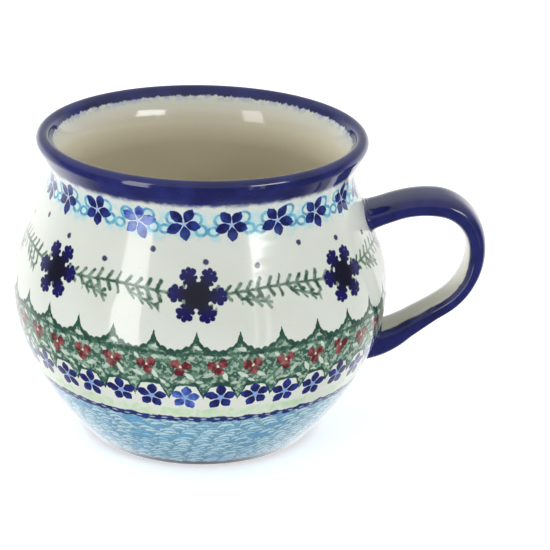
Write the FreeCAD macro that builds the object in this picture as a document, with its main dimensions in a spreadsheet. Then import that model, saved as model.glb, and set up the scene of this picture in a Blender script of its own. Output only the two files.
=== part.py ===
"""Belly mug in stoneware: a thrown body, a pulled strap handle and the two slip joints that hold it.

Frame: millimetres, +Z up along the body's axis, origin on the surface that the foot ring rests on,
at the body's axis. The handle lies in the XZ plane, towards +X.
"""
import FreeCAD
import Part
import math
import os
import Sketcher

START = 1
END = 2
CENTRE = 3
ORIGIN = -1
X_AXIS = -1

DIMENSIONS = {
    # thrown body
    "rim_height": 90.4,
    "wall": 4.2,
    "belly_radius": 55.0,
    "belly_height": 44.0,
    "upper_belly_arc": 33.7,
    "lower_belly_arc": 43.0,
    "foot_arc": 80.0,
    "neck_radius": 44.1,
    "neck_height": 78.4,
    "neck_arc": 9.5,
    "rim_flare": 29.0,
    "floor_height": 6.0,
    "floor_corner": 9.0,
    # foot ring and the hollow turned into the base
    "foot_radius": 33.6,
    "foot_bevel": 0.9,
    "foot_ring_width": 5.0,
    "base_hollow": 1.6,
    # handle: width and thickness of the pulled strap in the middle of its upper arm
    "strap_width": 15.0,
    "strap_thickness": 5.2,
    # handle: centre line, from a point inside the wall over the top and back to the body
    "upper_root_x": 45.0,
    "upper_root_z": 64.1,
    "upper_arm_angle": 20.0,
    "upper_arm": 11.4,
    "shoulder_arc": 30.0,
    "shoulder_turn": 25.0,
    "top_arc": 13.0,
    "top_turn": 72.0,
    "side_arc": 20.6,
    "side_turn": 69.0,
    "lower_arm": 15.0,
    "root_arc": 22.0,
    "root_turn": 26.0,
    # luting slip between the handle's ends and the body
    "slip_thickness": 0.8,
    "slip_overhang": 1.0,
}

# how the strap's width and thickness change from its upper end (0) to its lower end (1),
# as factors of strap_width and strap_thickness: (place, width factor, thickness factor)
STRAP_TAPER = [
    (0.00, 1.15, 1.45),
    (0.08, 1.10, 1.22),
    (0.16, 1.08, 1.18),
    (0.28, 1.12, 1.25),
    (0.42, 1.10, 1.16),
    (0.60, 1.00, 0.92),
    (0.76, 0.91, 0.96),
    (0.86, 0.93, 1.22),
    (0.94, 0.98, 1.66),
    (1.00, 1.02, 2.00),
]
STRAP_STATIONS = 17
EDGE_SHARE = 0.40        # radius of the strap's rounded edges, as a share of its thickness

doc = FreeCAD.newDocument("belly_mug")


# --- dimensions ----------------------------------------------------------------------------

def make_sheet():
    sheet = doc.addObject("Spreadsheet::Sheet", "dims")
    for row, (alias, value) in enumerate(DIMENSIONS.items(), start=1):
        sheet.set(f"A{row}", alias)
        sheet.set(f"B{row}", str(value))
        sheet.setAlias(f"B{row}", alias)
    doc.recompute()
    return sheet


sheet = make_sheet()


def size(alias):
    return float(sheet.get(alias))


# --- sketch helpers ------------------------------------------------------------------------

def origin_plane(body, role):
    for feature in body.Origin.OriginFeatures:
        if feature.Role == role:
            return feature
    raise ValueError(role)


def new_body(label):
    body = doc.addObject("PartDesign::Body", label)
    body.Label = label
    return body


def new_sketch(body, name, plane="XZ_Plane"):
    sketch = body.newObject("Sketcher::SketchObject", name)
    sketch.AttachmentSupport = [(origin_plane(body, plane), "")]
    sketch.MapMode = "FlatFace"
    return sketch


def point(x, y):
    return FreeCAD.Vector(x, y, 0)


def arc(centre, radius, start_angle, end_angle):
    circle = Part.Circle(centre, FreeCAD.Vector(0, 0, 1), radius)
    return Part.ArcOfCircle(circle, start_angle, end_angle)


def bind(sketch, kind, *arguments):
    """Add a dimension whose value comes from the sheet; the last argument is its expression."""
    *where, expression = arguments
    value = float(sketch.evalExpression(expression))
    if kind == "Angle":
        value = math.radians(value)
    number = sketch.addConstraint(Sketcher.Constraint(kind, *where, value))
    sketch.setExpression(f"Constraints[{number}]", expression)


def tie(sketch, kind, *where):
    sketch.addConstraint(Sketcher.Constraint(kind, *where))


# --- the body's outer curve ----------------------------------------------------------------

def wall_centres():
    """Centres of the arcs that make the wall, from the foot up to the neck."""
    belly_x, belly_z = size("belly_radius"), size("belly_height")
    lower = point(belly_x - size("lower_belly_arc"), belly_z)
    upper = point(belly_x - size("upper_belly_arc"), belly_z)
    neck = point(size("neck_radius") + size("neck_arc"), size("neck_height"))
    # the foot arc touches the lower belly arc from outside and passes through the foot's edge
    edge = point(size("foot_radius") + size("foot_bevel"), size("foot_bevel"))
    reach = size("foot_arc") - size("lower_belly_arc")
    span = edge.distanceToPoint(lower)
    along = (reach ** 2 - size("foot_arc") ** 2 + span ** 2) / (2 * span)
    across = math.sqrt(reach ** 2 - along ** 2)
    line = (edge - lower).normalize()
    foot = lower + line * along + point(line.y, -line.x) * across
    return foot, lower, upper, neck


def angle_of(vector):
    return math.atan2(vector.y, vector.x)


def draw_wall(sketch, out):
    """Draw the wall's curve, moved outwards by the sheet's value `out` (a word, or 0).

    From the foot's edge upwards: foot arc, lower belly arc, upper belly arc, shoulder line, neck arc.
    Returns the numbers of the four arcs.
    """
    shift = size(out) if out else 0.0
    more = f" + dims.{out}" if out else ""
    less = f" - dims.{out}" if out else ""
    foot_c, lower_c, upper_c, neck_c = wall_centres()
    foot_r = size("foot_arc") + shift
    lower_r = size("lower_belly_arc") + shift
    upper_r = size("upper_belly_arc") + shift
    neck_r = size("neck_arc") - shift
    edge = point(size("foot_radius") + size("foot_bevel"), size("foot_bevel"))

    edge_angle = angle_of(edge - foot_c)
    join_angle = angle_of(lower_c - foot_c)
    foot = sketch.addGeometry(arc(foot_c, foot_r, edge_angle, join_angle))
    lower = sketch.addGeometry(arc(lower_c, lower_r, join_angle, 0))

    # the shoulder line touches the upper belly arc on one side and the neck arc on the other
    between = neck_c - upper_c
    turn = math.acos((upper_r + neck_r) / between.Length)
    shoulder_angle = angle_of(between) - turn
    normal = point(math.cos(shoulder_angle), math.sin(shoulder_angle))
    upper = sketch.addGeometry(arc(upper_c, upper_r, 0, shoulder_angle))
    below = upper_c + normal * upper_r
    above = neck_c - normal * neck_r
    shoulder = sketch.addGeometry(Part.LineSegment(below, above))
    flare_angle = math.pi - math.radians(size("rim_flare"))
    neck = sketch.addGeometry(arc(neck_c, neck_r, flare_angle, shoulder_angle + math.pi))

    tie(sketch, "Tangent", foot, END, lower, START)
    tie(sketch, "Tangent", lower, END, upper, START)
    tie(sketch, "Tangent", upper, END, shoulder, START)
    tie(sketch, "Tangent", shoulder, END, neck, END)
    bind(sketch, "Radius", foot, f"dims.foot_arc{more}")
    bind(sketch, "Radius", lower, f"dims.lower_belly_arc{more}")
    bind(sketch, "Radius", upper, f"dims.upper_belly_arc{more}")
    bind(sketch, "Radius", neck, f"dims.neck_arc{less}")
    bind(sketch, "DistanceX", ORIGIN, START, lower, CENTRE, "dims.belly_radius - dims.lower_belly_arc")
    bind(sketch, "DistanceY", ORIGIN, START, lower, CENTRE, "dims.belly_height")
    bind(sketch, "DistanceY", ORIGIN, START, upper, CENTRE, "dims.belly_height")
    bind(sketch, "DistanceX", ORIGIN, START, neck, CENTRE, "dims.neck_radius + dims.neck_arc")
    bind(sketch, "DistanceY", ORIGIN, START, neck, CENTRE, "dims.neck_height")
    return foot, lower, upper, neck


# --- thrown body ---------------------------------------------------------------------------

def draw_foot(sketch, foot):
    """Foot: hollow base, ring that the mug stands on, bevelled outer edge. Returns the hollow's ceiling."""
    ring_in = size("foot_radius") - size("foot_ring_width")
    hollow = size("base_hollow")
    hollow_in = ring_in - hollow
    foot_out = size("foot_radius")
    bevel = size("foot_bevel")
    ceiling = sketch.addGeometry(Part.LineSegment(point(0, hollow), point(hollow_in, hollow)))
    slope = sketch.addGeometry(Part.LineSegment(point(hollow_in, hollow), point(ring_in, 0)))
    ring = sketch.addGeometry(Part.LineSegment(point(ring_in, 0), point(foot_out, 0)))
    edge = sketch.addGeometry(Part.LineSegment(point(foot_out, 0), point(foot_out + bevel, bevel)))
    tie(sketch, "Coincident", ceiling, END, slope, START)
    tie(sketch, "Coincident", slope, END, ring, START)
    tie(sketch, "Coincident", ring, END, edge, START)
    tie(sketch, "Coincident", edge, END, foot, START)
    tie(sketch, "Horizontal", ceiling)
    bind(sketch, "DistanceX", ORIGIN, START, ceiling, START, "0")
    bind(sketch, "DistanceY", ORIGIN, START, ceiling, START, "dims.base_hollow")
    bind(sketch, "DistanceX", ORIGIN, START, ceiling, END,
         "dims.foot_radius - dims.foot_ring_width - dims.base_hollow")
    bind(sketch, "DistanceX", ORIGIN, START, ring, START, "dims.foot_radius - dims.foot_ring_width")
    bind(sketch, "DistanceY", ORIGIN, START, ring, START, "0")
    bind(sketch, "DistanceX", ORIGIN, START, ring, END, "dims.foot_radius")
    bind(sketch, "DistanceY", ORIGIN, START, ring, END, "0")
    bind(sketch, "DistanceX", ORIGIN, START, edge, END, "dims.foot_radius + dims.foot_bevel")
    bind(sketch, "DistanceY", ORIGIN, START, edge, END, "dims.foot_bevel")
    return ceiling


def draw_rim(sketch, neck):
    """Flared rim with a full round lip, drawn from the neck arc. Returns the flare's inner line."""
    neck_c = sketch.Geometry[neck].Center
    wall = size("wall")
    flare = math.radians(size("rim_flare"))
    outward = point(math.cos(flare), -math.sin(flare))
    upward = point(math.sin(flare), math.cos(flare))
    lip_r = wall / 2
    flare_start = neck_c - outward * size("neck_arc")
    lip_z = size("rim_height") - lip_r
    rise = (lip_z - (flare_start.y + lip_r * math.sin(flare))) / math.cos(flare)
    flare_end = flare_start + upward * rise
    lip_c = flare_end - outward * lip_r
    inner_end = flare_end - outward * wall
    inner_start = flare_start - outward * wall
    outside = sketch.addGeometry(Part.LineSegment(flare_start, flare_end))
    lip = sketch.addGeometry(arc(lip_c, lip_r, -flare, math.pi - flare))
    inside = sketch.addGeometry(Part.LineSegment(inner_end, inner_start))
    tie(sketch, "Tangent", neck, START, outside, START)
    tie(sketch, "Tangent", outside, END, lip, START)
    tie(sketch, "Tangent", lip, END, inside, START)
    bind(sketch, "Angle", X_AXIS, outside, "(90 - dims.rim_flare) * 1deg")
    bind(sketch, "Radius", lip, "dims.wall / 2")
    bind(sketch, "DistanceY", ORIGIN, START, lip, CENTRE, "dims.rim_height - dims.wall / 2")
    return inside


def draw_inner_wall(sketch, outer, flare_line):
    """Inner wall, one wall's thickness from the outer one, down from the flare's inner line.

    Returns the number of its lowest piece, the part of the foot arc above the floor's corner.
    """
    foot, lower, upper, neck = outer
    foot_c, lower_c, upper_c, neck_c = wall_centres()
    wall = size("wall")
    neck_r = size("neck_arc") + wall
    upper_r = size("upper_belly_arc") - wall
    lower_r = size("lower_belly_arc") - wall
    foot_r = size("foot_arc") - wall
    shoulder_angle = angle_of(sketch.Geometry[upper].EndPoint - upper_c)
    normal = point(math.cos(shoulder_angle), math.sin(shoulder_angle))
    join_angle = angle_of(lower_c - foot_c)
    corner_angle = angle_of(floor_corner_centre() - foot_c)
    flare_angle = math.pi - math.radians(size("rim_flare"))
    neck_in = sketch.addGeometry(arc(neck_c, neck_r, flare_angle, shoulder_angle + math.pi))
    shoulder_in = sketch.addGeometry(
        Part.LineSegment(neck_c - normal * neck_r, upper_c + normal * upper_r))
    upper_in = sketch.addGeometry(arc(upper_c, upper_r, 0, shoulder_angle))
    lower_in = sketch.addGeometry(arc(lower_c, lower_r, join_angle, 0))
    foot_in = sketch.addGeometry(arc(foot_c, foot_r, corner_angle, join_angle))
    tie(sketch, "Tangent", flare_line, END, neck_in, START)
    tie(sketch, "Tangent", neck_in, END, shoulder_in, START)
    tie(sketch, "Tangent", shoulder_in, END, upper_in, END)
    tie(sketch, "Tangent", upper_in, START, lower_in, END)
    tie(sketch, "Tangent", lower_in, START, foot_in, END)
    tie(sketch, "Coincident", neck_in, CENTRE, neck, CENTRE)
    tie(sketch, "Coincident", upper_in, CENTRE, upper, CENTRE)
    tie(sketch, "Coincident", lower_in, CENTRE, lower, CENTRE)
    tie(sketch, "Coincident", foot_in, CENTRE, foot, CENTRE)
    bind(sketch, "Radius", neck_in, "dims.neck_arc + dims.wall")
    bind(sketch, "Radius", upper_in, "dims.upper_belly_arc - dims.wall")
    return foot_in


def floor_corner_centre():
    """Centre of the round corner that touches both the floor and the inner foot arc."""
    foot_c = wall_centres()[0]
    corner_z = size("floor_height") + size("floor_corner")
    reach = size("foot_arc") - size("wall") - size("floor_corner")
    return point(foot_c.x + math.sqrt(reach ** 2 - (foot_c.y - corner_z) ** 2), corner_z)


def draw_floor(sketch, foot_in, ceiling):
    """Floor with a wide round corner, and the edge on the axis that closes the section."""
    corner_c = floor_corner_centre()
    corner_angle = angle_of(corner_c - wall_centres()[0])
    floor = size("floor_height")
    corner = sketch.addGeometry(arc(corner_c, size("floor_corner"), -math.pi / 2, corner_angle))
    bottom = sketch.addGeometry(Part.LineSegment(point(corner_c.x, floor), point(0, floor)))
    axis = sketch.addGeometry(Part.LineSegment(point(0, floor), point(0, size("base_hollow"))))
    tie(sketch, "Tangent", foot_in, START, corner, END)
    tie(sketch, "Tangent", corner, START, bottom, START)
    tie(sketch, "Coincident", bottom, END, axis, START)
    tie(sketch, "Coincident", axis, END, ceiling, START)
    tie(sketch, "Vertical", axis)
    tie(sketch, "Horizontal", bottom)
    bind(sketch, "Radius", corner, "dims.floor_corner")
    bind(sketch, "DistanceY", ORIGIN, START, bottom, END, "dims.floor_height")


def make_mug_body():
    body = new_body("mug_body")
    sketch = new_sketch(body, "body_profile")
    outer = draw_wall(sketch, "")
    foot, neck = outer[0], outer[-1]
    ceiling = draw_foot(sketch, foot)
    flare_line = draw_rim(sketch, neck)
    foot_in = draw_inner_wall(sketch, outer, flare_line)
    draw_floor(sketch, foot_in, ceiling)
    turned = body.newObject("PartDesign::Revolution", "thrown_wall")
    turned.Profile = sketch
    turned.ReferenceAxis = (sketch, ["V_Axis"])
    turned.Angle = 360
    return body


# --- what is inside or outside the wall, for trimming the handle and the slip ----------------

def trim(body, name, out, side):
    """Take away what lies between the body's outer surface, moved outwards by `out`, and `side`.

    `side` is the distance from the axis, as an expression: 0 takes away all that is inside.
    """
    sketch = new_sketch(body, f"{name}_profile")
    outer = draw_wall(sketch, out)
    foot, neck = outer[0], outer[-1]
    low = sketch.Geometry[foot].StartPoint
    high = sketch.Geometry[neck].StartPoint
    reach = float(sketch.evalExpression(side))
    floor = sketch.addGeometry(Part.LineSegment(point(reach, low.y), low))
    upright = sketch.addGeometry(Part.LineSegment(point(reach, high.y), point(reach, low.y)))
    lid = sketch.addGeometry(Part.LineSegment(high, point(reach, high.y)))
    tie(sketch, "Coincident", floor, END, foot, START)
    tie(sketch, "Coincident", upright, END, floor, START)
    tie(sketch, "Coincident", lid, END, upright, START)
    tie(sketch, "Coincident", lid, START, neck, START)
    tie(sketch, "Horizontal", floor)
    tie(sketch, "Horizontal", lid)
    tie(sketch, "Vertical", upright)
    bind(sketch, "DistanceX", ORIGIN, START, upright, START, side)
    bind(sketch, "DistanceY", ORIGIN, START, floor, END, "dims.foot_bevel")
    bind(sketch, "DistanceY", neck, CENTRE, lid, START, "dims.neck_arc / 2")
    cut = body.newObject("PartDesign::Groove", name)
    cut.Profile = sketch
    cut.ReferenceAxis = (sketch, ["V_Axis"])
    cut.Angle = 360


# --- pulled strap --------------------------------------------------------------------------

def strap_runs():
    """The centre line as runs of (length, turn in radians): straight arms and bends."""
    return [
        (size("upper_arm"), 0.0),
        (size("shoulder_arc") * math.radians(size("shoulder_turn")), size("shoulder_turn")),
        (size("top_arc") * math.radians(size("top_turn")), size("top_turn")),
        (size("side_arc") * math.radians(size("side_turn")), size("side_turn")),
        (size("lower_arm"), 0.0),
        (size("root_arc") * math.radians(size("root_turn")), size("root_turn")),
    ]


def strap_length():
    return sum(length for length, turn in strap_runs())


def strap_place(distance):
    """Point and heading (radians above +X) of the centre line, `distance` along it."""
    here = point(size("upper_root_x"), size("upper_root_z"))
    heading = math.radians(size("upper_arm_angle"))
    for length, turn in strap_runs():
        part = min(distance, length)
        if turn:
            radius = length / math.radians(turn)
            after = heading - part / radius
            here = here + point(math.sin(heading) - math.sin(after),
                                math.cos(after) - math.cos(heading)) * radius
            heading = after
        else:
            here = here + point(math.cos(heading), math.sin(heading)) * part
        distance -= part
        if distance <= 0:
            break
    return here, heading


def strap_factors(place):
    """Width and thickness factors at `place` (0 to 1) along the strap."""
    for (low, w0, t0), (high, w1, t1) in zip(STRAP_TAPER, STRAP_TAPER[1:]):
        if place <= high:
            share = (place - low) / (high - low)
            return w0 + (w1 - w0) * share, t0 + (t1 - t0) * share
    return STRAP_TAPER[-1][1:]


def draw_section(body, name, distance, margin):
    """A section of the strap across its centre line: two crowned faces and two round edges."""
    here, heading = strap_place(distance)
    wide, thick = strap_factors(distance / strap_length())
    sketch = new_sketch(body, name, "XY_Plane")
    tilt = FreeCAD.Rotation(FreeCAD.Vector(0, 1, 0), 90 - math.degrees(heading))
    sketch.AttachmentOffset = FreeCAD.Placement(FreeCAD.Vector(here.x, 0, here.y), tilt)

    extra = f" + dims.{margin}" if margin else ""
    half_width = f"(dims.strap_width * {wide / 2:.4f}{extra})"
    half_thick = f"(dims.strap_thickness * {thick / 2:.4f}{extra})"
    edge = f"({half_thick} * {2 * EDGE_SHARE})"
    centre = f"({half_width} - {edge})"
    crown = f"(({centre} ^ 2 + {half_thick} ^ 2 - {edge} ^ 2) / (2 * ({half_thick} - {edge})))"

    edge_r = float(sketch.evalExpression(edge))
    edge_y = float(sketch.evalExpression(centre))
    crown_r = float(sketch.evalExpression(crown))
    crown_x = crown_r - float(sketch.evalExpression(half_thick))
    lean = math.atan2(edge_y, crown_x)
    outer = sketch.addGeometry(arc(point(-crown_x, 0), crown_r, -lean, lean))
    left = sketch.addGeometry(arc(point(0, edge_y), edge_r, lean, math.pi - lean))
    inner = sketch.addGeometry(arc(point(crown_x, 0), crown_r, math.pi - lean, math.pi + lean))
    right = sketch.addGeometry(arc(point(0, -edge_y), edge_r, math.pi + lean, -lean))
    tie(sketch, "Tangent", outer, END, left, START)
    tie(sketch, "Tangent", left, END, inner, START)
    tie(sketch, "Tangent", inner, END, right, START)
    tie(sketch, "Coincident", right, END, outer, START)
    bind(sketch, "Radius", left, edge)
    bind(sketch, "Radius", right, edge)
    bind(sketch, "Radius", outer, crown)
    bind(sketch, "DistanceX", ORIGIN, START, left, CENTRE, "0")
    bind(sketch, "DistanceY", ORIGIN, START, left, CENTRE, centre)
    bind(sketch, "DistanceX", ORIGIN, START, right, CENTRE, "0")
    bind(sketch, "DistanceY", right, CENTRE, ORIGIN, START, centre)
    return sketch


def loft_strap(body, name, distances, margin):
    sections = []
    for number, distance in enumerate(distances):
        sections.append(draw_section(body, f"{name}_section_{number}", distance, margin))
    loft = body.newObject("PartDesign::AdditiveLoft", name)
    loft.Profile = sections[0]
    loft.Sections = sections[1:]
    loft.Ruled = False
    return loft


def make_handle():
    body = new_body("handle")
    step = strap_length() / (STRAP_STATIONS - 1)
    loft_strap(body, "strap", [step * number for number in range(STRAP_STATIONS)], "")
    doc.recompute()
    trim(body, "seat", "slip_thickness", "0")
    return body


# --- luting slip ---------------------------------------------------------------------------

def make_slip(label, distances):
    """Slip squeezed out round one end of the handle, between it and the body."""
    body = new_body(label)
    loft_strap(body, f"{label}_bead", distances, "slip_overhang")
    doc.recompute()
    trim(body, f"{label}_wall_side", "", "0")
    doc.recompute()
    trim(body, f"{label}_strap_side", "slip_thickness", "2 * dims.belly_radius")
    return body


# --- build, check and write ----------------------------------------------------------------

def check(item):
    if "Invalid" in item.State or "Error" in item.State:
        raise RuntimeError(f"{item.Name}: {item.State}")


def main():
    length = strap_length()
    root = size("upper_arm")
    pieces = [
        make_mug_body(),
        make_handle(),
        make_slip("upper_slip_joint", [0.0, root / 2, root]),
        make_slip("lower_slip_joint", [length - root, length - root / 2, length]),
    ]
    doc.recompute()
    for item in doc.Objects:
        check(item)
    os.makedirs("parts", exist_ok=True)
    for piece in pieces:
        if piece.Shape.isNull() or not piece.Shape.isValid():
            raise RuntimeError(f"{piece.Label}: no valid shape")
        piece.Shape.exportStep(f"parts/{piece.Label}.step")
        box = piece.Shape.BoundBox
        print(piece.Label, len(piece.Shape.Solids), "solid", round(piece.Shape.Volume, 1), "mm3",
              [round(v, 2) for v in (box.XMin, box.YMin, box.ZMin, box.XMax, box.YMax, box.ZMax)])


main()
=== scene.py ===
"""Looks of a stoneware belly mug: glazed body with stamped bands, cobalt strap handle, slip joints."""
import math
from collections import namedtuple

import bpy
from mathutils import Matrix, Vector, noise


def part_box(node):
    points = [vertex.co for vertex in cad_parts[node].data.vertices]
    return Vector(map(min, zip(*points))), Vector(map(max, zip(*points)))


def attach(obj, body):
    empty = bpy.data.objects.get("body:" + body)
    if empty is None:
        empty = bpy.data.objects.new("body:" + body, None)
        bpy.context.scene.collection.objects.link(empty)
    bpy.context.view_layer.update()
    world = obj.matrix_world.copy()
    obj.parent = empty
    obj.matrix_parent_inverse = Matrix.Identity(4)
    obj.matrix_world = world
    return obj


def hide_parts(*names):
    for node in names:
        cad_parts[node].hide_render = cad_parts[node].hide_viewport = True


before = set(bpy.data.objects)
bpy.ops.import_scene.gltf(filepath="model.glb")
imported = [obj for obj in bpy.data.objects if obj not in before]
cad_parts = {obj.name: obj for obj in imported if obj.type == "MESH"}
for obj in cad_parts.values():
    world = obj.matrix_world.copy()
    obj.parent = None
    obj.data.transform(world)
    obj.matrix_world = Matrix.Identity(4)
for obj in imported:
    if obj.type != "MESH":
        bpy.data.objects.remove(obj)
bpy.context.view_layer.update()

MM = 0.001

# --- the body's sizes, in millimetres --------------------------------------------------------

_, BODY_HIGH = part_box("mug_body")
RIM_HEIGHT = BODY_HIGH[2] / MM
BELLY_RADIUS = BODY_HIGH[0] / MM
BELLY_HEIGHT = 44.0
WALL = 4.2
UPPER_BELLY_ARC = 33.7
LOWER_BELLY_ARC = 43.0
FOOT_ARC = 80.0
NECK_RADIUS = 44.1
NECK_HEIGHT = 78.4
NECK_ARC = 9.5
RIM_FLARE = math.radians(29.0)
FLOOR_HEIGHT = 6.0
FLOOR_CORNER = 9.0
FOOT_RADIUS = 33.6
FOOT_BEVEL = 0.9
FOOT_RING_WIDTH = 5.0
BASE_HOLLOW = 1.6
HUB = 0.4                # radius round which the middles of the base and the floor close
SECTION_STEPS = 12       # steps in a short stretch of the wall's section
BODY_AROUND = 288        # points round the body
LEAN = 0.0020            # share of the radius by which the body is out of true, slowly changing
RINGS = 0.0004           # and by which its throwing rings are
TRIMMED = 1.5            # the foot is trimmed true up to this height
UNTRIMMED = 9.5          # and from here up the body is as far out of true as it gets

# --- the handle's sizes, in millimetres and degrees ------------------------------------------

STRAP_WIDTH = 15.0
STRAP_THICKNESS = 5.2
STRAP_SHRINK = 0.995     # keeps the strap a hair inside the CAD's
STRAP_SQUARENESS = 2.8   # exponent of the section, where 2 is an ellipse
STRAP_AROUND = 64        # points round the strap
STRAP_STEPS = 160        # steps along it
STRAP_SPARE = 1.0        # length past the end of its runs, inside the wall
ROOT_DEPTH = 1.6         # how far the strap's ends reach into the wall
STRAP_START = (45.0, 64.1)
STRAP_HEADING = 20.0
# runs of the centre line: (length of a straight run or radius of a bend, turn)
STRAP_RUNS = [(11.4, 0), (30.0, 25), (13.0, 72), (20.6, 69), (15.0, 0), (22.0, 26)]
# place along the strap, width factor, thickness factor
STRAP_TAPER = [
    (0.00, 1.15, 1.45), (0.08, 1.10, 1.22), (0.16, 1.08, 1.18), (0.28, 1.12, 1.25),
    (0.42, 1.10, 1.16), (0.60, 1.00, 0.92), (0.76, 0.91, 0.96), (0.86, 0.93, 1.22),
    (0.94, 0.98, 1.66), (1.00, 1.02, 2.00),
]

# --- the slip joints' sizes, in millimetres --------------------------------------------------

SLIP_AROUND = 96         # points round a joint
SLIP_STEPS = 8           # steps across its hollow face
SLIP_UNEVEN = 0.28       # share by which its width wanders
SLIP_ON_STRAP = 0.06     # thickness of its thin edges
SLIP_ON_WALL = 0.05
SLIP_CORNER = 0.12       # lift off the wall of the corner that its hollow face bends towards
SLIP_DEPTH = 0.7         # how far it reaches into the wall
STATIONS = 150           # steps of the strap's line that a joint is placed along
# one row a joint: name, shares of the strap's length between which it meets the wall (outside first),
# how far it climbs the strap and spreads on the wall
SLIP_JOINTS = [("upper_slip", 0.22, 0.0, 1.1, 0.9), ("lower_slip", 0.82, 1.0, 1.2, 1.0)]

# --- rows of stamps --------------------------------------------------------------------------

# stamps in the row, azimuth of the first in degrees, and in millimetres the height along the glaze
# from the foot's edge, and the body's radius there; the lace's heights are given stroke by stroke
Row = namedtuple("Row", "count first height radius")
NECK_ROW = Row(21, -6.2, 84.1, 44.3)
DOT_ROW = Row(21, 0.9, 74.4, 47.6)
FLAKE_ROW = Row(7, -0.6, 64.9, 51.4)
ARCH_ROW = Row(29, -0.8, 0.0, 54.9)
HEM_ROW = Row(35, 6.2, 0.0, 52.9)
BEAD_ROW = Row(HEM_ROW.count, HEM_ROW.first + 180 / HEM_ROW.count, 38.6, 53.2)
BERRY_ROW = Row(35, 4.9, 44.7, 54.7)
LOWER_ROW = Row(35, 6.4, 34.6, 52.6)
LINK_ROW = Row(84, -2.7, 25.5, 49.0)
# leaf marks in the lace: (row, seed, most turn in degrees, half length, half width)
LEAF_ROWS = [
    (Row(58, 0.0, 50.3, 54.9), 101, 24, 1.5, 0.62),
    (Row(70, 2.6, 47.4, 54.9), 107, 60, 1.2, 0.50),
    (Row(70, 2.6, 42.0, 54.3), 113, 64, 1.9, 0.66),
    (Row(70, 0.0, 39.9, 53.8), 127, 50, 1.2, 0.50),
]
GREEN_BAND_HEIGHT = 28.4
CHAIN_HEIGHT = 25.4
SCALE_PITCH = 2.5        # between rows of scales
SCALE_RADIUS = 43.5
# two layers of scales: (seed, drop below the first layer, scales in a row)
SCALE_LAYERS = [(171, 0.0, 54), (187, 1.25, 47)]
RIM_INNER_EDGE = 103.1   # where the rim's cobalt ends inside the mug
PETALS = 5
PETAL_UNEVEN = 0.25      # share by which the petals' lengths differ
HIGHLIGHT_EVERY = 7           # the last of this many flowers has its petals painted paler: a painted highlight

# --- inks and glazes, as 0 to 255 display values ---------------------------------------------

# where there are two, the surface clouds from one to the other
WHITE_GLAZE = (215, 220, 212)
WARM_GLAZE = (208, 211, 200)
# the inside's cream, warmer and a little darker than the outside: partly the glaze's own tone, partly
# painted shade of the hollow
INSIDE_GLAZE_AND_SHADE = (220, 213, 190)
STRAP_INSIDE = (214, 212, 196)
COBALT_GLAZE = ((26, 30, 84), (36, 42, 108))
RIM_COBALT = ((22, 27, 82), (34, 41, 108))
RIM_FRINGE = (140, 160, 205)
TURQUOISE_WASH = (168, 212, 220)
TURQUOISE_FILL = (190, 226, 232)
TURQUOISE_LINE = ((62, 142, 178), (122, 190, 208))
NAVY = (20, 26, 84)
NECK_PETAL = (38, 56, 132)
NECK_HEART = (150, 172, 220)
NECK_HALO = (206, 222, 236)
LOWER_PETAL = (36, 52, 128)
LOWER_HEART = (92, 134, 204)
LOWER_HALO = (224, 230, 226)
# paler petal blue, for the painted highlight on some flowers
HIGHLIGHT_PETAL = (92, 128, 214)
DOT_INK = (30, 30, 84)
PINE = ((48, 84, 68), (88, 126, 106))
PINE_HALO = (214, 224, 206)
FLAKE = ((8, 8, 34), (16, 16, 88))
LACE_GREEN = ((56, 92, 79), (100, 134, 114))
LACE_PALE = (174, 196, 178)
LACE_VEIN = (46, 84, 70)
LACE_LINE = ((34, 66, 58), (54, 92, 78))
LEAF_MARK = (214, 226, 212)
BEAD = (170, 196, 172)
BERRY_HALO = (150, 160, 140)
BERRY_RED = ((96, 30, 42), (144, 54, 66))
BERRY_HEART = (226, 216, 196)
GREEN_BAND = ((172, 208, 166), (202, 223, 188))
CHAIN_NAVY = ((22, 28, 84), (38, 54, 118))
LINK_HOLE = (186, 204, 224)
SCALE_GROUND = ((116, 160, 182), (150, 190, 204))
SCALE_TINT = ((190, 220, 230), (140, 192, 220))
SCALE_LINE = (78, 128, 156)
SCALE_STRONG = (92, 152, 196)
# the foot's dark line: partly a blue glaze line, partly painted shadow where the foot meets the table
FOOT_LINE_AND_SHADE = (48, 58, 92)
BARE_CLAY = ((196, 180, 152), (178, 158, 128))
SPECK = (120, 104, 84)

GLAZE_IOR = 1.52
GLAZE_COAT = 0.45
COAT_ROUGHNESS = 0.05
PEEL_STRENGTH = 0.35
PEEL_DEPTH = 0.08        # of the glaze's orange peel, in millimetres

# --- camera, in metres and radians -----------------------------------------------------------

CAMERA_DISTANCE = 0.5687
CAMERA_HEIGHT = 0.2687
CAMERA_YAW = 0.0384
CAMERA_PITCH = 0.3732
CAMERA_ROLL = 0.0283
CAMERA_LENS = 135.3      # millimetres, before a sensor SENSOR_WIDTH wide
SENSOR_WIDTH = 36

# --- studio, in metres -----------------------------------------------------------------------

SOFTBOX_DISTANCE = 0.95
MUG_MIDDLE = 0.05
TABLE_GLOW = 0.42
SKY_ABOVE = 0.52
SKY_BELOW = 0.12
BACKDROP = 0.45
TABLE_BEHIND = 1.1
TABLE_REACH = 4.0
TABLE_WHITE = 0.92
# lamps: name, left and right azimuth and low and high rise in degrees, radiance
WINDOWS = [
    ("window_left", -53, -35, -20, 36, 3.6),
    ("window_right", 34, 60, 22.35, 35, 6.8),
    ("window_right_stand", 31, 33, -20, 25, 1.2),
    ("window_right_edge", 38, 41, -20, 25, 1.2),
]
# the same, for soft walls at the sides that the glaze doesn't mirror
TENT_WALLS = [("tent_left", -150, -80, -15, 50, 1.9), ("tent_right", 85, 150, -15, 50, 1.4)]


# --- the body's section ----------------------------------------------------------------------

def point(radius, height):
    """A point of the section."""
    return Vector((radius, height))


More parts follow.
